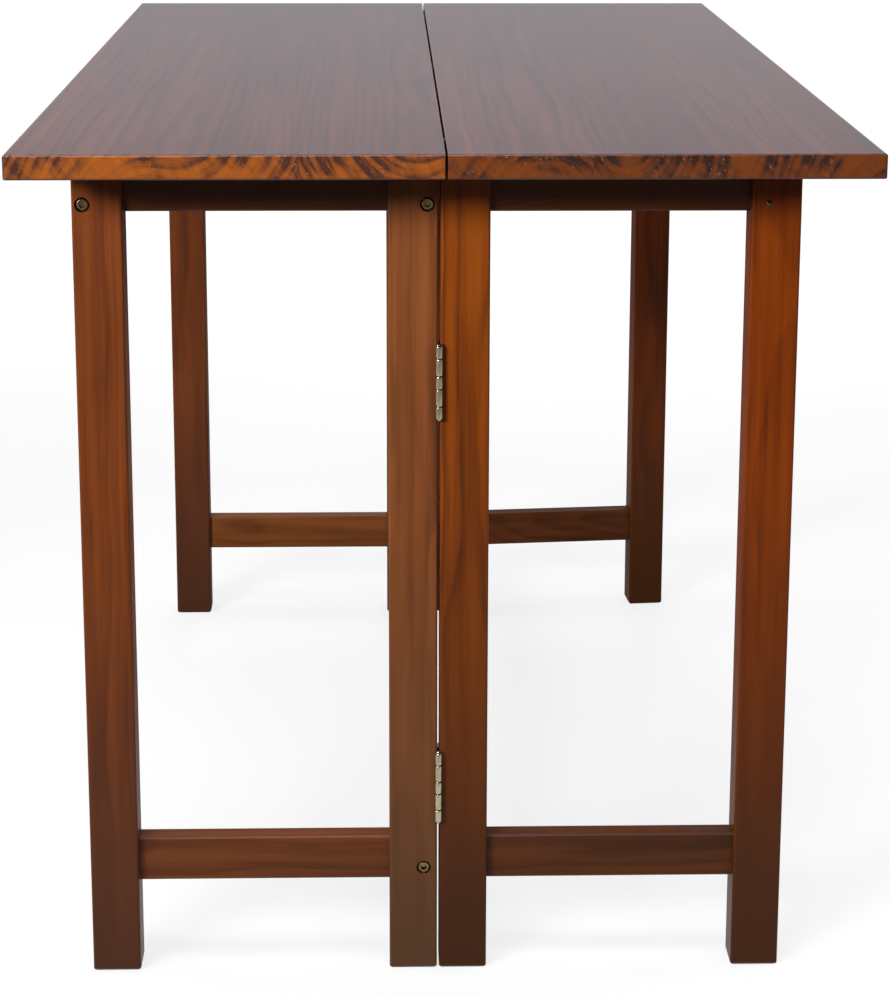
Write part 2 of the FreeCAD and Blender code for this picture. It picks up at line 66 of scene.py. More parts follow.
class Tree:
    """A short way to write a material's or the world's nodes."""

    def __init__(self, tree):
        self.tree = tree

    def feed(self, socket, value):
        """Links an input to another node's output, or gives it a plain value."""
        if isinstance(value, bpy.types.NodeSocket):
            self.tree.links.new(value, socket)
        else:
            socket.default_value = value

    def node(self, kind, inputs=None, **settings):
        made = self.tree.nodes.new(kind)
        for key, value in settings.items():
            setattr(made, key, value)
        for key, value in (inputs or {}).items():
            self.feed(made.inputs[key], value)
        return made

    def math(self, operation, first, second=0.0, third=0.0, clamp=False):
        inputs = {0: first, 1: second, 2: third}
        return self.node("ShaderNodeMath", inputs, operation=operation, use_clamp=clamp).outputs[0]

    def line(self, value, slope, start, clamp=False):
        """value x slope + start."""
        return self.math("MULTIPLY_ADD", value, slope, start, clamp=clamp)

    def weighted(self, start, terms):
        """start + the sum of value x weight over the terms."""
        for value, weight in terms:
            start = self.line(value, weight, start)
        return start

    def vector(self, x, y, z):
        return self.node("ShaderNodeCombineXYZ", {0: x, 1: y, 2: z}).outputs[0]

    def parts(self, vector):
        """The x, y and z of a vector."""
        return self.node("ShaderNodeSeparateXYZ", {0: vector}).outputs

    def noise(self, vector, scale=1.0, detail=2.0, roughness=0.5):
        inputs = {"Vector": vector, "Scale": scale, "Detail": detail, "Roughness": roughness}
        return self.node("ShaderNodeTexNoise", inputs).outputs["Fac"]

    def draw(self, number):
        """A fixed random draw for each number: the outputs Value and Color."""
        return self.node("ShaderNodeTexWhiteNoise", {"W": number}, noise_dimensions="1D").outputs

    def ramp(self, factor, stops, interpolation="LINEAR"):
        """A ramp through (position, colour) stops; a single number is a grey."""
        made = self.node("ShaderNodeValToRGB", {0: factor})
        made.color_ramp.interpolation = interpolation
        elements = made.color_ramp.elements
        while len(elements) < len(stops):
            elements.new(0.5)
        for element, (position, colour) in zip(elements, stops):
            element.position = position
            grey = isinstance(colour, float)
            element.color = (colour, colour, colour, 1.0) if grey else (*colour, 1.0)
        return made.outputs[0]

    def mix(self, factor, first, second):
        """A colour between two others."""
        made = self.node("ShaderNodeMix", {0: factor}, data_type="RGBA")
        for key, colour in ((6, first), (7, second)):
            linked = isinstance(colour, bpy.types.NodeSocket)
            self.feed(made.inputs[key], colour if linked else (*colour, 1.0))
        return made.outputs[2]


def new_material(name, inputs):
    """A material with one Principled shader, and the tree to add to it."""
    made = bpy.data.materials.new(name)
    made.use_nodes = True
    shader = made.node_tree.nodes["Principled BSDF"]
    for key, value in inputs.items():
        shader.inputs[key].default_value = value
    return made, Tree(made.node_tree), shader


def add_bump(t, shader, strength, distance, height):
    """Fine relief that only the shading shows."""
    bump = t.node("ShaderNodeBump", {"Strength": strength, "Distance": distance, "Height": height})
    t.feed(shader.inputs["Normal"], bump.outputs[0])


# ---------------------------------------------------------------- wood

LEG_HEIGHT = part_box("near_console_outer_leg")[1].z
LACQUER_IOR = 1.47
SEED_STEP = 7.31                # distance along the noise from one piece's wood to the next

# The two axes across the grain and the one along it, for each way that the grain can run
GRAIN_AXES = {"X": (1, 2, 0), "Y": (0, 2, 1), "Z": (0, 1, 2)}
END_FACING = (4.0, -2.6)        # a face is end grain where it looks along the grain by more than about 0.65

# Noise drawn out along the grain: cells per metre across it, and along it
BEND = (11.0, 4.2)              # slow bends of the growth rings
RIPPLE = (45.0, 4.0)            # short bends of the growth rings
FIBRE = (520.0, 9.0)
STREAK = (85.0, 3.6)
CLOUD = (14.0, 4.5)
PATCH = (26.0, 4.0)             # where the end grain has taken up more stain

BEND_SHARE = 1.7
RIPPLE_HEIGHT = 3.0 * MM
YEAR = [(0.0, 0.05), (0.40, 0.2), (0.72, 0.9), (0.84, 1.0), (1.0, 0.05)]    # early to late wood of one ring
YEAR_STRENGTH = (0.9, 0.25)     # rings differ from each other by their draw

# Shade of a face along the grain, from 0 for the light tone to 1 for the dark one
FACE_RING = 0.40
FACE_FIBRE = 0.65
FACE_STAVE = 0.16
FACE_BASE = 0.34
FOOT_SHADE_FADE = -1.7                # what the painted shade's share loses over the height of a leg

# Shade of the end grain: slopes and starts over the stained patches
PATCH_LEVEL = (4.6, 0.50)
PATCH_RISE = 26.0               # per metre: the ends of the boards are darker towards the top
END_RING = (0.42, 0.12)
END_SWIRL = (0.46, 0.10)
END_STROKE = (0.75, 0.55)
END_PATCH = 0.24
END_STAVE = 0.10
END_BASE = 0.12
END_HALF = 0.40                 # the shade of the ramp's middle stop, and the dark tone's share in it
END_DARK = 0.95                 # the shade from which the ends are fully dark
END_SHARES = (0.75, 0.60)       # ends without tones of their own take these shares of the face's tones
SWIRL_PERIOD = 13 * MM
STROKE_RUN = (170.0, 130.0)     # cells per metre sideways and upwards, so that the strokes lean
STROKE_WIDTH = (35.0, -60.0)
STROKE_DEPTH = 9.0
FLECK_SCALE = 3.6
FLECK_LEVEL = (12.0, -7.9)
FLECK_SHARE = 0.6
FLECK_LIGHT = 0.11

PORE_RELIEF = (0.6, -0.4)       # of the fibres and of the rings
PORE_STRENGTH = 0.10
PORE_DEPTH = 0.25 * MM

# How staves differ: side by side in a board, each sawn from its own place in the tree
STAVE_SPREAD = 1.6              # a stave's pith lies anywhere across this many of its widths
STAVE_PITH = (40 * MM, 14 * MM)     # and from 14 to 54 mm above or below the board's middle
STAVE_STEP = 3.7


def grain_space(t, grain):
    """A point's place across, through and along the grain, and how far its face is end grain."""
    place = t.node("ShaderNodeTexCoord").outputs
    axes = GRAIN_AXES[grain]
    parts = t.parts(place["Object"])
    facing = t.parts(place["Normal"])[axes[2]]
    end = t.line(t.math("ABSOLUTE", facing), *END_FACING, clamp=True)
    return [parts[i] for i in axes], end


def stretched(t, space, cells, shift, detail=2.0, roughness=0.5):
    """Noise about zero, drawn out along the grain."""
    across, along = cells
    vector = t.vector(
        t.math("MULTIPLY", space[0], across),
        t.math("MULTIPLY", space[1], across),
        t.line(space[2], along, shift),
    )
    return t.math("SUBTRACT", t.noise(vector, detail=detail, roughness=roughness), 0.5)


def staves(t, space, width, shift):
    """Glued staves side by side: each one's pith across and through, its shift and its tone."""
    number = t.math("FLOOR", t.math("DIVIDE", space[0], width))
    colour = t.draw(t.math("ADD", number, shift))["Color"]
    draws = t.node("ShaderNodeSeparateColor", {0: colour}).outputs
    middle = t.math("MULTIPLY", t.math("ADD", number, 0.5), width)
    across = t.line(t.math("SUBTRACT", draws[0], 0.5), width * STAVE_SPREAD, middle)
    side = t.math("SUBTRACT", t.math("MULTIPLY", t.math("GREATER_THAN", draws[1], 0.5), 2.0), 1.0)
    through = t.math("MULTIPLY", side, t.line(draws[2], *STAVE_PITH))
    return across, through, t.line(number, STAVE_STEP, shift), draws[1]


def growth_rings(t, space, pith, shift, spacing, wander):
    """The distance from the pith, bent as a tree grows, and the rings, from 0 for pale to 1 for dark."""
    across = t.math("SUBTRACT", space[0], pith[0])
    through = t.math("SUBTRACT", space[1], pith[1])
    squares = t.math("ADD", t.math("MULTIPLY", across, across), t.math("MULTIPLY", through, through))
    radius = t.math("SQRT", squares)
    radius = t.line(stretched(t, space, BEND, shift), BEND_SHARE * wander, radius)
    radius = t.line(stretched(t, space, RIPPLE, shift), RIPPLE_HEIGHT, radius)
    turns = t.math("DIVIDE", radius, spacing)
    strength = t.draw(t.math("FLOOR", turns))["Value"]
    ring = t.ramp(t.math("FRACT", turns), YEAR, "EASE")
    return radius, t.math("MULTIPLY", ring, t.line(strength, *YEAR_STRENGTH))


def face_grain(t, tones, ring, figure, tone, terms):
    """The colour of a face along the grain, from its rings, its stave's tone and other weighted terms."""
    shade = t.math("MULTIPLY", ring, FACE_RING * figure)
    shade = t.weighted(shade, terms + [(t.math("SUBTRACT", tone, 0.5), FACE_STAVE)])
    shade = t.math("ADD", shade, FACE_BASE, clamp=True)
    return t.ramp(shade, [(0.0, tones[0]), (0.5, tones[1]), (1.0, tones[2])])


def end_grain(t, space, shift, tones, level, rise, radius, ring, tone):
    """The colour of sawn ends. The stained patches grow by the rise for each metre above the level."""
    light, dark = tones
    height = t.math("SUBTRACT", space[1], level)
    patch = t.line(stretched(t, space, PATCH, shift), *PATCH_LEVEL)
    patch = t.line(height, rise, patch, clamp=True)
    lean = t.vector(
        t.line(space[1], STROKE_RUN[1], t.math("MULTIPLY", space[0], STROKE_RUN[0])),
        t.line(space[1], STROKE_WIDTH[1], t.math("MULTIPLY", space[0], STROKE_WIDTH[0])),
        t.line(space[2], STROKE_DEPTH, shift),
    )
    stroke = t.math("SUBTRACT", t.noise(lean, detail=3.0), 0.5)
    swirl = t.line(t.math("SINE", t.math("MULTIPLY", radius, 2 * math.pi / SWIRL_PERIOD)), 0.5, 0.5)
    shade = t.math("MULTIPLY", ring, t.line(patch, *END_RING))
    shade = t.weighted(shade, [
        (swirl, t.line(patch, *END_SWIRL)),
        (stroke, t.line(patch, *END_STROKE)),
        (patch, END_PATCH),
        (t.math("SUBTRACT", tone, 0.5), END_STAVE),
    ])
    shade = t.math("ADD", shade, END_BASE, clamp=True)
    half = [(1 - END_HALF) * a + END_HALF * b for a, b in zip(light, dark)]
    colour = t.ramp(shade, [(0.0, light), (END_HALF, half), (END_DARK, dark)])
    fleck = t.line(t.noise(lean, scale=FLECK_SCALE, detail=1.0), *FLECK_LEVEL, clamp=True)
    fleck = t.math("MULTIPLY", t.math("MULTIPLY", fleck, patch), FLECK_SHARE)
    return t.mix(fleck, colour, [min(1.0, c + FLECK_LIGHT) for c in light])


def wood(name, grain, pith, seed, tones, spacing, wander=12 * MM, stave=0.0, figure=1.0, streaks=1.25,
         clouds=1.0, roughness=0.40, gloss=0.20, end_tones=None, foot=None):
    """Stained and lacquered pine: growth rings round a pith, fibres, stain clouds, darker end grain and, on
    legs, painted shade towards the foot.
    """
    lacquer = {"Roughness": roughness, "Specular IOR Level": gloss, "IOR": LACQUER_IOR}
    made, t, shader = new_material(name, lacquer)
    space, end = grain_space(t, grain)
    own_shift = seed * SEED_STEP
    shift = own_shift
    tone = 0.5
    across, through = pith
    if stave:
        across, offset, shift, tone = staves(t, space, stave, shift)
        through = t.math("ADD", offset, through)
    radius, ring = growth_rings(t, space, (across, through), shift, spacing, wander)
    fibre = stretched(t, space, FIBRE, shift, detail=3.0, roughness=0.6)
    terms = [
        (fibre, FACE_FIBRE),
        (stretched(t, space, STREAK, shift), streaks),
        (stretched(t, space, CLOUD, shift, detail=3.0), clouds),
    ]
    colour = face_grain(t, tones, ring, figure, tone, terms)
    # Towards the foot the colour passes to a darker, duller tone: mostly painted shade of the light falling
    # off towards the floor, partly a duller stain
    if foot:
        foot_shade, start = foot
        low = t.line(t.math("DIVIDE", space[2], LEG_HEIGHT), FOOT_SHADE_FADE, start, clamp=True)
        colour = t.mix(low, colour, foot_shade)
    if end_tones:
        rise = PATCH_RISE
    else:
        rise = 0.0
        end_tones = [[c * share for c in tones[i]] for i, share in zip((0, 2), END_SHARES)]
    end_colour = end_grain(t, space, own_shift, end_tones, pith[1], rise, radius, ring, tone)
    t.feed(shader.inputs["Base Color"], t.mix(end, colour, end_colour))
    relief = t.line(fibre, PORE_RELIEF[0], t.math("MULTIPLY", ring, PORE_RELIEF[1]))
    add_bump(t, shader, PORE_STRENGTH, PORE_DEPTH, relief)
    return made


# Light, middle and dark tones of the stain; two of the rails' sets are darkened or lightened as painted shade
# and painted light
ORANGE = ((0.310, 0.070, 0.004), (0.222, 0.046, 0.002), (0.085, 0.018, 0.002))
RED_ORANGE = ((0.290, 0.052, 0.002), (0.195, 0.032, 0.001), (0.070, 0.013, 0.001))
BROWN = ((0.235, 0.056, 0.010), (0.155, 0.035, 0.006), (0.065, 0.016, 0.004))
UMBER = ((0.290, 0.088, 0.024), (0.195, 0.057, 0.015), (0.090, 0.027, 0.009))
RAIL = ((0.220, 0.064, 0.018), (0.145, 0.041, 0.011), (0.070, 0.020, 0.006))
# Painted light: a rail's tones lightened for the far console stretcher, where the light falls from the left
LIT_RAIL = ((0.300, 0.092, 0.022), (0.210, 0.064, 0.014), (0.105, 0.031, 0.008))
# Painted shade: a rail's tones darkened, for the end rails in the shade under the tabletop and for the gate's
# stretchers
SHADED_RAIL = ((0.130, 0.036, 0.009), (0.086, 0.023, 0.005), (0.043, 0.012, 0.0035))
TOP = ((0.115, 0.027, 0.017), (0.062, 0.014, 0.011), (0.024, 0.007, 0.008))
BEECH = ((0.62, 0.42, 0.24), (0.52, 0.34, 0.18), (0.40, 0.25, 0.13))

# The legs' tones, the darker, duller tone that they pass to towards the foot (mostly painted shade of the
# light falling off towards the floor, partly a duller stain), and how much of it there is
LEG_TONES = {
    "console_outer_leg": (BROWN, ((0.100, 0.034, 0.016), 0.95)),
    "console_inner_leg": (UMBER, ((0.115, 0.054, 0.024), 0.95)),
    "gate_inner_leg": (ORANGE, ((0.064, 0.018, 0.004), 1.15)),
    "gate_outer_leg": (RED_ORANGE, ((0.070, 0.020, 0.004), 1.15)),
}
CROSS_RAIL_TONES = {
    "console_end_rail": SHADED_RAIL,
    "gate_end_rail": SHADED_RAIL,
    "console_end_stretcher": RAIL,
    "gate_stretcher": SHADED_RAIL,
}
# The piece that takes the lighter tones of painted light
LIT_PIECE = "far_console_end_stretcher"
BOARD_END_TONES = {
    "console_top": ((0.345, 0.085, 0.006), (0.058, 0.018, 0.009)),
    "flip_leaf": ((0.180, 0.040, 0.003), (0.028, 0.010, 0.006)),
}

# Seeds of the first piece of each kind, and the steps to the next ones
LEG_SEED = 1
CROSS_RAIL_SEED = 30
LONG_RAIL_SEED = 60
BOARD_SEED = 71
BOARD_SEED_STEP = 4
DOWEL_SEED = 90
FAR_SEED_STEP = 10

# Spacing of the growth rings
LEG_RINGS = 6.2 * MM
CROSS_RAIL_RINGS = 5.4 * MM
LONG_RAIL_RINGS = 5.8 * MM
BOARD_RINGS = 6.5 * MM
DOWEL_RINGS = 1.8 * MM

# Where the pith lies, from a piece's middle: how far away, and the step from one kind of piece to the next
LEG_PITH = (38 * MM, 6 * MM)
LEG_PITH_SIDEWAYS = 8 * MM      # a step in X besides, even to both sides of the four kinds of leg
CROSS_RAIL_PITH = (40 * MM, 9 * MM)
LONG_RAIL_PITH = (42 * MM, 14 * MM)
STAVE_WIDTH = 116.4 * MM


def stain_legs():
    away, step = LEG_PITH
    central = (len(LEG_TONES) - 1) / 2
    for number, (part, (tones, foot)) in enumerate(LEG_TONES.items()):
        sideways = (number - central) * LEG_PITH_SIDEWAYS
        for far, end in enumerate(ENDS):
            name = end + part
            middle = middle_of(name)
            side = 1 if (number + far) % 2 else -1
            pith = (middle.x + sideways, middle.y + side * (away + step * number))
            seed = LEG_SEED + number + FAR_SEED_STEP * far
            dress(name, wood("wood " + name, "Z", pith, seed, tones, LEG_RINGS, figure=0.9, foot=foot))


def stain_cross_rails():
    away, step = CROSS_RAIL_PITH
    for number, (part, tones) in enumerate(CROSS_RAIL_TONES.items()):
        for far, end in enumerate(ENDS):
            name = end + part
            middle = middle_of(name)
            pith = (middle.y + away, middle.z + (number - 1) * step)
            seed = CROSS_RAIL_SEED + number + FAR_SEED_STEP * far
            rail_tones = LIT_RAIL if name == LIT_PIECE else tones
            dress(name, wood("wood " + name, "X", pith, seed, rail_tones, CROSS_RAIL_RINGS))


def stain_long_rails():
    away, step = LONG_RAIL_PITH
    for number, name in enumerate(LONG_RAILS):
        middle = middle_of(name)
        pith = (middle.x + away, middle.z + (number - 1) * step)
        dress(name, wood("wood " + name, "Y", pith, LONG_RAIL_SEED + number, BROWN, LONG_RAIL_RINGS))


def stain_boards():
    look = {"stave": STAVE_WIDTH, "streaks": 0.9, "clouds": 0.5, "roughness": 0.25, "gloss": 0.38}
    for number, (name, end_tones) in enumerate(BOARD_END_TONES.items()):
        pith = (0.0, middle_of(name).z)
        seed = BOARD_SEED + BOARD_SEED_STEP * number
        dress(name, wood("wood " + name, "Y", pith, seed, TOP, BOARD_RINGS, end_tones=end_tones, **look))


def stain_dowels():
    beech = wood("beech dowels", "Y", (0.0, 0.0), DOWEL_SEED, BEECH, DOWEL_RINGS, wander=2 * MM, figure=0.5)
    dress("long_rail_dowels", beech)


stain_legs()
stain_cross_rails()
stain_long_rails()
stain_boards()
stain_dowels()


# ---------------------------------------------------------------- metals

TARNISH_SCALE = 220.0           # cells per metre
TARNISH_LEVEL = (3.0, -1.1)
BRUSH_SCALE = 1500.0
BRUSH_STRENGTH = 0.08
BRUSH_DEPTH = 0.05 * MM


def metal(name, colour, roughness, worn):
    """A plated metal with small worn and tarnished patches."""
    made, t, shader = new_material(name, {"Metallic": 1.0, "Roughness": roughness})
    place = t.node("ShaderNodeTexCoord").outputs["Object"]
    spots = t.noise(place, scale=TARNISH_SCALE, detail=4.0, roughness=0.65)
    spots = t.line(spots, *TARNISH_LEVEL, clamp=True)
    t.feed(shader.inputs["Base Color"], t.mix(spots, colour, worn))
    add_bump(t, shader, BRUSH_STRENGTH, BRUSH_DEPTH, t.noise(place, scale=BRUSH_SCALE))
    return made


hinge_brass = metal("hinge brass", (0.53, 0.47, 0.33), 0.25, (0.36, 0.32, 0.20))
# The bolts' brass is darkened: partly tarnish, partly painted shade of the tabletop's overhang over them
shaded_bolt_brass = metal("bolt brass", (0.26, 0.19, 0.09), 0.26, (0.09, 0.06, 0.03))
nail_steel = metal("nail steel", (0.10, 0.085, 0.06), 0.18, (0.04, 0.035, 0.025))
zinc = metal("zinc", (0.60, 0.61, 0.62), 0.35, (0.45, 0.45, 0.46))

for part in ("console_halves", "leaf_halves", "middle_links"):
    dress("fold_hinge_" + part, hinge_brass)
for part in ("barrel_nuts", "top_screws"):
    dress(part, zinc)


# ---------------------------------------------------------------- small shapes

ROUND_SIDES = 40
RIM_STEPS = 4                   # flats across a rounded rim
SHARP_ANGLE = math.radians(32)  # edges that turn by less are shaded smooth


def quarter(steps):
    """Angles in even steps from 0 to a quarter turn."""
    return [QUARTER_TURN * i / steps for i in range(steps + 1)]


def turned(points, sides=ROUND_SIDES):
    """A mesh turned about +Z from (height, radius) points; a radius of 0 closes an end."""
    shape = bmesh.new()
    angles = [2 * math.pi * i / sides for i in range(sides)]
    rings = []
    for height, radius in points:
        if radius == 0:
            rings.append([shape.verts.new((0, 0, height))])
        else:
            ring = [(radius * math.cos(a), radius * math.sin(a), height) for a in angles]
            rings.append([shape.verts.new(point) for point in ring])
    for first, second in zip(rings, rings[1:]):
        for i in range(sides):
            corners = [first[i % len(first)], first[(i + 1) % len(first)]]
            corners += [second[(i + 1) % len(second)], second[i % len(second)]]
            shape.faces.new(list(dict.fromkeys(corners)))
    return shape


def eased(low, high, radius, ease):
    """Profile points of a short round bar with rounded rims, closed at both ends."""
    rim = [(ease * (1 - math.sin(a)), radius - ease * (1 - math.cos(a))) for a in quarter(RIM_STEPS)]
    points = [(low, 0.0)]
    for end, turn in ((low, 1), (high, -1)):
        arc = [(end + turn * inset, width) for inset, width in rim]
        points += arc[::-1] if turn > 0 else arc
    return points + [(high, 0.0)]


def slab(low, high, ease):
    """A box with narrow bevels."""
    shape = bmesh.new()
    bmesh.ops.create_cube(shape, size=1.0)
    size = [b - a for a, b in zip(low, high)]
    bmesh.ops.scale(shape, vec=size, verts=shape.verts)
    bmesh.ops.translate(shape, vec=[(a + b) / 2 for a, b in zip(low, high)], verts=shape.verts)
    bmesh.ops.bevel(shape, geom=shape.edges[:], offset=ease, segments=2, affect="EDGES", profile=0.5)
    return shape


def joined(shapes):
    """Several meshes as one."""
    whole = bmesh.new()
    for shape in shapes:
        mesh = bpy.data.meshes.new("part")
        shape.to_mesh(mesh)
        shape.free()
        whole.from_mesh(mesh)
        bpy.data.meshes.remove(mesh)
    return whole


def moved(shape, matrix):
    """The same mesh, turned and moved; a mirrored one gets its faces turned the right way out."""
    bmesh.ops.transform(shape, matrix=matrix, verts=shape.verts)
    if matrix.determinant() < 0:
        bmesh.ops.reverse_faces(shape, faces=shape.faces)
    return shape


def plain_object(name, shape):
    """An object from a mesh, its round faces smooth."""
    bmesh.ops.recalc_face_normals(shape, faces=shape.faces)
    mesh = bpy.data.meshes.new(name)
    shape.to_mesh(mesh)
    shape.free()
    mesh.shade_smooth()
    mesh.set_sharp_from_angle(angle=SHARP_ANGLE)
    made = bpy.data.objects.new(name, mesh)
    bpy.context.scene.collection.objects.link(made)
    return made


def carved(shape, tool):
    """A mesh with another one taken out of it. A tool that crosses itself would leave nothing."""
    body = plain_object("body", shape)
    cutter = plain_object("cutter", tool)
    cut = body.modifiers.new("cut", "BOOLEAN")
    cut.operation = "DIFFERENCE"
    cut.solver = "EXACT"
    cut.object = cutter
    mesh = bpy.data.meshes.new_from_object(body.evaluated_get(bpy.context.evaluated_depsgraph_get()))
    result = bmesh.new()
    result.from_mesh(mesh)
    for item in (body, cutter):
        bpy.data.objects.remove(item)
    bpy.data.meshes.remove(mesh)
    return result


def piece(node, shape, material, body):
    """A detailed piece that stands for a CAD node."""
    made = plain_object(node + "_detailed", shape)
    made.data.materials.append(material)
    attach(made, body)
    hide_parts(node)


# ---------------------------------------------------------------- butt hinges

KNUCKLE_RADIUS = 3.25 * MM
KNUCKLE_RIM = 0.9 * MM
KNUCKLE_GAP = 0.35 * MM
WIDE_KNUCKLE = 14.8 * MM
PLATE_CLEARANCE = 0.3 * MM      # knuckles to the edge of the plate
ROOT_OVERLAP = 0.2 * MM         # how far a knuckle's root runs into the plate
PIN_RADIUS = 1.5 * MM
PIN_TIP_RADIUS = 2.5 * MM
PIN_TIP_HEIGHT = 1.7 * MM
PIN_TIP_GAP = 0.1 * MM          # end of the leaves to a tip's foot
PIN_TIP_STEPS = 6
LEAF_THICKNESS = 1.5 * MM
LEAF_EASE = 0.12 * MM
LEAF_GAP = 0.3 * MM
SCREW_RADIUS = 1.75 * MM
SCREW_HEAD_RADIUS = SCREW_RADIUS + LEAF_THICKNESS
SCREW_LENGTH = 16 * MM
SCREW_END = 10 * MM             # end of a leaf to its outer screws
OUTER_ROW = 9 * MM              # pin's axis to the outer screws
MIDDLE_ROW = 17 * MM
SINK_MOUTH = 0.5 * MM           # how far the countersink's tool stands out of the leaf
SINK_FIT = 0.1 * MM
HEAD_FACE = (0.05 * MM, SCREW_HEAD_RADIUS - 0.15 * MM)      # depth below the leaf's face, and radius
HEAD_EDGE = (0.15 * MM, SCREW_HEAD_RADIUS - 0.10 * MM)      # the same for the widest part of the head
SCREW_TAPER = (0.8, 0.85)       # shares of the length and of the radius where the point begins
RECESS_REACH = 1.6 * MM
RECESS_HALF_WIDTH = 0.35 * MM
RECESS_DEPTH = 1.3 * MM
RECESS_EASE = 0.1 * MM
RECESS_STEP = 0.98              # depth of the second bar's foot against the first's
SCREW_TURN = (60, 0.5)          # each screw's own angle: radians per metre of height, and start
FAR_GATE_ANGLE = math.radians(5)

leaf_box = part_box("near_lower_hinge_console_leaf")
pin_axis = middle_of("near_lower_hinge_pin")
HINGE_LENGTH = leaf_box[1].z - leaf_box[0].z
LEAF_REACH = leaf_box[1].y - pin_axis.y
SCREW_PLACES = ((OUTER_ROW, SCREW_END), (MIDDLE_ROW, HINGE_LENGTH / 2), (OUTER_ROW, HINGE_LENGTH - SCREW_END))
TO_X = Matrix.Rotation(QUARTER_TURN, 4, "Y")
MIRROR_Y = Matrix.Scale(-1, 4, (0, 1, 0))


def far_gate_turn():
    """From the far gate's place in line with its frame to its place a little ajar."""
    pivot = Matrix.Translation((pin_axis.x, -pin_axis.y, 0))
    return pivot @ Matrix.Rotation(FAR_GATE_ANGLE, 4, "Z") @ pivot.inverted()


def hinge_place(end, level, gate):
    """From a hinge's own frame, its origin on the pin's axis at the hinge's foot, to the table's."""
    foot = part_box(end + level + "_hinge_console_leaf")[0].z
    place = Matrix.Translation((pin_axis.x, pin_axis.y, foot))
    if end == "far_":
        place = MIRROR_Y @ place
        if gate:
            place = far_gate_turn() @ place
    return place


def knuckle_spans():
    """Lowest and highest level of the five knuckles: narrow, wide, narrow, wide, narrow."""
    narrow = (HINGE_LENGTH - 2 * WIDE_KNUCKLE - 4 * KNUCKLE_GAP) / 3
    level = 0.0
    for height in (narrow, WIDE_KNUCKLE, narrow, WIDE_KNUCKLE, narrow):
        yield level, level + height
        level += height + KNUCKLE_GAP


def screw_places(side):
    """From a screw's own frame, +Z into the leg, to the hinge's, for the three screws of a leaf."""
    turn = TO_X if side > 0 else TO_X.inverted()
    for row, height in SCREW_PLACES:
        yield Matrix.Translation((side * LEAF_GAP / 2, row, height)) @ turn


def leaf_shape(side):
    """A leaf with its own knuckles and countersunk holes; side is -1 on the console, +1 on the gate."""
    own = 0 if side < 0 else 1
    left, right = sorted((side * LEAF_GAP / 2, side * (LEAF_GAP / 2 + LEAF_THICKNESS)))
    edge = KNUCKLE_RADIUS + PLATE_CLEARANCE
    knuckles = []
    for number, (low, high) in enumerate(knuckle_spans()):
        if number % 2 == own:
            knuckles.append(turned(eased(low, high, KNUCKLE_RADIUS, KNUCKLE_RIM)))
            knuckles.append(slab((left, 0, low), (right, edge + ROOT_OVERLAP, high), LEAF_EASE))
    cone = [
        (-SINK_MOUTH, 0.0),
        (-SINK_MOUTH, SCREW_HEAD_RADIUS + SINK_MOUTH + SINK_FIT),
        (LEAF_THICKNESS + SINK_FIT, SCREW_RADIUS),
        (LEAF_THICKNESS + SINK_FIT, 0.0),
    ]
    sinks = [moved(turned(cone), place) for place in screw_places(side)]
    plate = slab((left, edge, 0), (right, LEAF_REACH, HINGE_LENGTH), LEAF_EASE)
    return joined([carved(plate, joined(sinks))] + knuckles)


def screw_shape(side):
    """The three screws of a leaf, with crossed recesses in their heads."""
    profile = [
        (HEAD_FACE[0], 0.0),
        HEAD_FACE,
        HEAD_EDGE,
        (LEAF_THICKNESS, SCREW_RADIUS),
        (SCREW_LENGTH * SCREW_TAPER[0], SCREW_RADIUS * SCREW_TAPER[1]),
        (SCREW_LENGTH, 0.0),
    ]
    long, wide, deep = RECESS_REACH, RECESS_HALF_WIDTH, RECESS_DEPTH
    slope, start = SCREW_TURN
    shapes = []
    for place in screw_places(side):
        turn = Matrix.Rotation(start + place.translation.z * slope, 4, "Z")
        screw = turned(profile)
        # One bar of the cross after the other, because together they would cross themselves
        for x, y, z in ((long, wide, deep), (wide, long, deep * RECESS_STEP)):
            screw = carved(screw, moved(slab((-x, -y, -deep), (x, y, z), RECESS_EASE), turn))
        shapes.append(moved(screw, place))
    return joined(shapes)


def pin_shape():
    """A pin with a domed tip at each end."""
    end = HINGE_LENGTH + PIN_TIP_GAP
    angles = quarter(PIN_TIP_STEPS)[:-1]
    dome = [(end + PIN_TIP_HEIGHT * math.sin(a), PIN_TIP_RADIUS * math.cos(a)) for a in angles]
    upper = [(end, PIN_RADIUS)] + dome + [(end + PIN_TIP_HEIGHT, 0.0)]
    lower = [(HINGE_LENGTH - height, radius) for height, radius in reversed(upper)]
    return turned(lower + upper)


def make_hinges(end):
    """The two hinges of one end of the table, and their screws."""
    sides = ((-1, "console", "console"), (1, "gate", end + "gate"))
    for level in LEVELS:
        stem = end + level + "_hinge_"
        for side, holder, body in sides:
            leaf = moved(leaf_shape(side), hinge_place(end, level, side > 0))
            piece(stem + holder + "_leaf", leaf, hinge_brass, body)
        pin = moved(pin_shape(), hinge_place(end, level, False))
        piece(stem + "pin", pin, hinge_brass, "console")
    for side, holder, body in sides:
        screws = [moved(screw_shape(side), hinge_place(end, level, side > 0)) for level in LEVELS]
        piece(end + holder + "_hinge_screws", joined(screws), hinge_brass, body)


for end in ENDS:
    make_hinges(end)


# ---------------------------------------------------------------- bolts and tacks

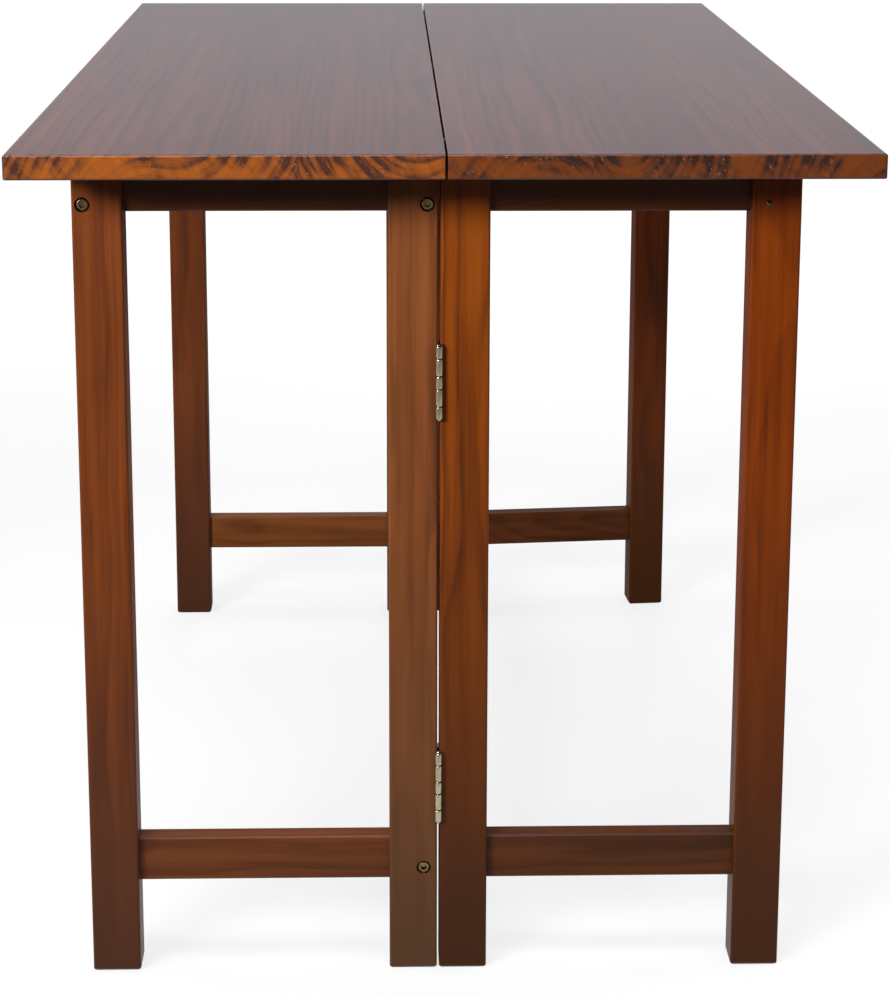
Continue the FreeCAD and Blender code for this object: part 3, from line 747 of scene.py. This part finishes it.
BOLT_HEAD_RADIUS = 5 * MM
BOLT_HEAD_HEIGHT = 6 * MM
BOLT_HEAD_RIM = 0.7 * MM
BOLT_RADIUS = 3 * MM
BOLT_CHAMFER = 0.8 * MM
BOLT_END = 0.75                 # share of the radius that the chamfer leaves
SOCKET_SIDES = 6
SOCKET_CORNER = 2.9 * MM
SOCKET_DEPTH = 3.2 * MM
SOCKET_MOUTH = 1 * MM           # how far the socket's tool stands out of the head
TACK_HEAD_RADIUS = 2.6 * MM
TACK_HEAD_HEIGHT = 1.8 * MM
TACK_HEAD_STEPS = 7
TACK_SHANK_RADIUS = 0.8 * MM
TACK_TAPER = (0.8, 0.8)         # shares of the length and of the radius where the point begins


def bolt_shape(length):
    """A socket-head bolt that runs along +Z from the face of its head."""
    profile = eased(0.0, BOLT_HEAD_HEIGHT, BOLT_HEAD_RADIUS, BOLT_HEAD_RIM)[:-1] + [
        (BOLT_HEAD_HEIGHT, BOLT_RADIUS),
        (length - BOLT_CHAMFER, BOLT_RADIUS),
        (length, BOLT_RADIUS * BOLT_END),
        (length, 0.0),
    ]
    socket = [
        (-SOCKET_MOUTH, 0.0),
        (-SOCKET_MOUTH, SOCKET_CORNER),
        (SOCKET_DEPTH, SOCKET_CORNER),
        (SOCKET_DEPTH, 0.0),
    ]
    return carved(turned(profile), turned(socket, SOCKET_SIDES))


def bolts(end, node):
    """The three bolts of one end, each placed by the rail that it holds."""
    low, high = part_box(node)
    side = 1 if end == "near_" else -1
    face = low.y if side > 0 else high.y
    inwards = Matrix.Rotation(-side * QUARTER_TURN, 4, "X")
    shapes = []
    for rail in LONG_RAILS:
        middle = middle_of(rail)
        place = Matrix.Translation((middle.x, face, middle.z)) @ inwards
        shapes.append(moved(bolt_shape(high.y - low.y), place))
    return joined(shapes)


def tack_shape(length):
    """A domed tack that runs along +Z from the foot of its head."""
    angles = quarter(TACK_HEAD_STEPS)[1:]
    dome = [(-TACK_HEAD_HEIGHT * math.cos(a), TACK_HEAD_RADIUS * math.sin(a)) for a in angles]
    taper = (length * TACK_TAPER[0], TACK_SHANK_RADIUS * TACK_TAPER[1])
    return turned([(-TACK_HEAD_HEIGHT, 0.0)] + dome + [(0.0, TACK_SHANK_RADIUS), taper, (length, 0.0)])


def tack(end):
    """The tack in the outer leg of one gate."""
    low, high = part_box("near_gate_tack")
    middle = middle_of("near_gate_tack")
    foot = low.y + TACK_HEAD_HEIGHT
    place = Matrix.Translation((middle.x, foot, middle.z)) @ Matrix.Rotation(-QUARTER_TURN, 4, "X")
    if end == "far_":
        place = far_gate_turn() @ MIRROR_Y @ place
    return moved(tack_shape(high.y - foot), place)


for end in ENDS:
    bolt_node = end + "frame_bolts"
    piece(bolt_node, bolts(end, bolt_node), shaded_bolt_brass, "console")
for end in ENDS:
    piece(end + "gate_tack", tack(end), nail_steel, end + "gate")


# ---------------------------------------------------------------- floor and world

FLOOR_REACH = 30.0
FLOOR_TONE = (0.26, 0.26, 0.26, 1.0)        # as the camera and the lacquer see the floor
DIM_FLOOR_TONE = (0.14, 0.14, 0.14, 1.0)    # as its light reaches the table

# Slopes and starts over metres from the table's middle, and the least that is left
FAR_OUT = (0.7, -0.75)
GLOW = (0.25, 0.75)                         # near the table the lamps add what the glow lacks
FRONT_FADE = (0.5, 1.275)
FRONT_LEAST = 0.38
BACK_FADE = (-0.9, 0.325)
BACK_LEAST = 0.08

WHITE = (1.0, 1.0, 1.0)
ROOM_TINT = (0.95, 0.95, 1.0)               # what the lacquer mirrors of the room
AMBIENT = 0.08

# Slopes and starts over a direction, and the least that is left
BACKDROP_SIDES = (1.6, 0.55)
BACKDROP_RISE = (-11.0, 2.42)
BACKDROP_LEAST = 0.19
MIRRORED = (0.97, 0.03)


def floor_material():
    """A pale floor that is white to the camera where no shadow falls."""
    made = bpy.data.materials.new("floor")
    made.use_nodes = True
    t = Tree(made.node_tree)
    made.node_tree.nodes.remove(made.node_tree.nodes["Principled BSDF"])
    rays = t.node("ShaderNodeLightPath").outputs
    place = t.node("ShaderNodeTexCoord").outputs["Object"]
    distance = t.node("ShaderNodeVectorMath", {0: place}, operation="LENGTH").outputs["Value"]
    depth = t.parts(place)[1]

    # The camera sees the whole glow; in the lacquer it fades to the front and nearly goes out to the back
    far_out = t.line(distance, *FAR_OUT, clamp=True)
    front = t.math("MAXIMUM", t.line(depth, *FRONT_FADE, clamp=True), FRONT_LEAST)
    back = t.math("MAXIMUM", t.line(depth, *BACK_FADE, clamp=True), BACK_LEAST)
    faded = t.math("MAXIMUM", t.math("MINIMUM", front, back), rays["Is Camera Ray"])
    strength = t.math("MULTIPLY", t.line(far_out, *GLOW), faded)

    matt = t.node("ShaderNodeBsdfDiffuse", {"Color": FLOOR_TONE}).outputs[0]
    glow = t.node("ShaderNodeEmission", {"Strength": strength}).outputs[0]
    bright = t.node("ShaderNodeAddShader", {0: matt, 1: glow}).outputs[0]
    dim = t.node("ShaderNodeBsdfDiffuse", {"Color": DIM_FLOOR_TONE}).outputs[0]
    shown = t.math("MAXIMUM", rays["Is Camera Ray"], rays["Is Glossy Ray"])
    surface = t.node("ShaderNodeMixShader", {0: shown, 1: dim, 2: bright}).outputs[0]
    t.feed(made.node_tree.nodes["Material Output"].inputs["Surface"], surface)
    return made


def make_floor():
    """A wide square under the table."""
    corners = [(x * FLOOR_REACH, y * FLOOR_REACH, 0) for x, y in ((-1, -1), (1, -1), (1, 1), (-1, 1))]
    mesh = bpy.data.meshes.new("floor")
    mesh.from_pydata(corners, [], [(0, 1, 2, 3)])
    mesh.materials.append(floor_material())
    floor = bpy.data.objects.new("floor", mesh)
    bpy.context.scene.collection.objects.link(floor)


def make_world():
    """White to the camera, faint as light, and to the lacquer a low white backdrop behind the table."""
    world = bpy.data.worlds.new("studio")
    bpy.context.scene.world = world
    world.use_nodes = True
    t = Tree(world.node_tree)
    rays = t.node("ShaderNodeLightPath").outputs
    direction = t.parts(t.node("ShaderNodeTexCoord").outputs["Generated"])
    backdrop = t.line(direction[1], *BACKDROP_SIDES, clamp=True)
    low = t.math("MAXIMUM", t.line(direction[2], *BACKDROP_RISE, clamp=True), BACKDROP_LEAST)
    mirrored = t.math("MULTIPLY", t.line(backdrop, *MIRRORED), low)
    shown = t.math("MAXIMUM", rays["Is Camera Ray"], rays["Is Transmission Ray"])
    plain = t.line(shown, 1.0 - AMBIENT, AMBIENT)
    choice = {0: rays["Is Glossy Ray"], 2: plain, 3: mirrored}
    strength = t.node("ShaderNodeMix", choice, data_type="FLOAT").outputs[0]
    background = world.node_tree.nodes["Background"].inputs
    t.feed(background["Color"], t.mix(rays["Is Camera Ray"], ROOM_TINT, WHITE))
    t.feed(background["Strength"], strength)


make_floor()
make_world()


# ---------------------------------------------------------------- lights

LEG_TARGET = (0.0, 0.0, 0.45)
SOFT_BOX = (1.2, 1.2)


def area_light(name, place, target, size, power, spread=180, mirrored=True):
    """A soft box that looks at a point, in metres, watts and degrees; gloss shows only a mirrored one."""
    data = bpy.data.lights.new(name, "AREA")
    data.shape = "RECTANGLE"
    data.size, data.size_y = size
    data.energy = power
    data.spread = math.radians(spread)
    light = bpy.data.objects.new(name, data)
    bpy.context.scene.collection.objects.link(light)
    light.location = place
    light.rotation_euler = (Vector(target) - Vector(place)).to_track_quat("-Z", "Y").to_euler()
    light.visible_camera = False
    light.visible_glossy = mirrored


area_light("key", (-1.8, -2.5, 1.60), (0.0, -0.2, 0.70), (1.2, 0.50), 7.4, 45)
area_light("fill", (1.7, -2.5, 1.7), (0.0, -0.5, 0.75), (0.6, 0.6), 2.4, 80, mirrored=False)
area_light("strip", (-0.4, -1.1, 2.5), (-0.1, -0.60, 0.75), (1.8, 0.15), 5.0, 60)
area_light("overhead", (0.0, 0.6, 2.9), (0.0, 0.2, 0.0), (2.6, 2.6), 32.0)
area_light("left side", (-3.0, 0.5, 1.3), LEG_TARGET, SOFT_BOX, 5.5, 60, mirrored=False)
area_light("right side", (3.0, 0.5, 1.3), LEG_TARGET, SOFT_BOX, 5.5, 60, mirrored=False)
area_light("behind", (0.3, 3.4, 1.3), LEG_TARGET, SOFT_BOX, 5.0, 60, mirrored=False)


# ---------------------------------------------------------------- camera

CAMERA_PLACE = (-0.05083, -2.58883, 1.0667)
PITCH = math.radians(12.622)    # downwards
YAW = math.radians(1.430)       # to the right
ROLL = math.radians(0.141)
SENSOR_WIDTH = 36.0
FOCAL_LENGTH = 92.115
SHIFT = -0.185                  # as large as keeps the whole table in frame when the camera moves round it


def make_camera():
    """The camera at the front, a little above the tabletop."""
    vertical = Vector((0, 0, 1))
    ahead = Vector((math.sin(YAW), math.cos(YAW), 0))
    sideways = Vector((math.cos(YAW), -math.sin(YAW), 0))
    forward = ahead * math.cos(PITCH) - vertical * math.sin(PITCH)
    upright = vertical * math.cos(PITCH) + ahead * math.sin(PITCH)
    right = sideways * math.cos(ROLL) + upright * math.sin(ROLL)
    up = upright * math.cos(ROLL) - sideways * math.sin(ROLL)
    data = bpy.data.cameras.new("camera")
    data.sensor_width = SENSOR_WIDTH
    data.lens = FOCAL_LENGTH
    data.shift_y = SHIFT
    camera = bpy.data.objects.new("camera", data)
    bpy.context.scene.collection.objects.link(camera)
    facing = Matrix((right, up, -forward)).transposed().to_4x4()
    camera.matrix_world = Matrix.Translation(CAMERA_PLACE) @ facing
    bpy.context.scene.camera = camera


make_camera()
bpy.context.scene.view_settings.view_transform = "Standard"
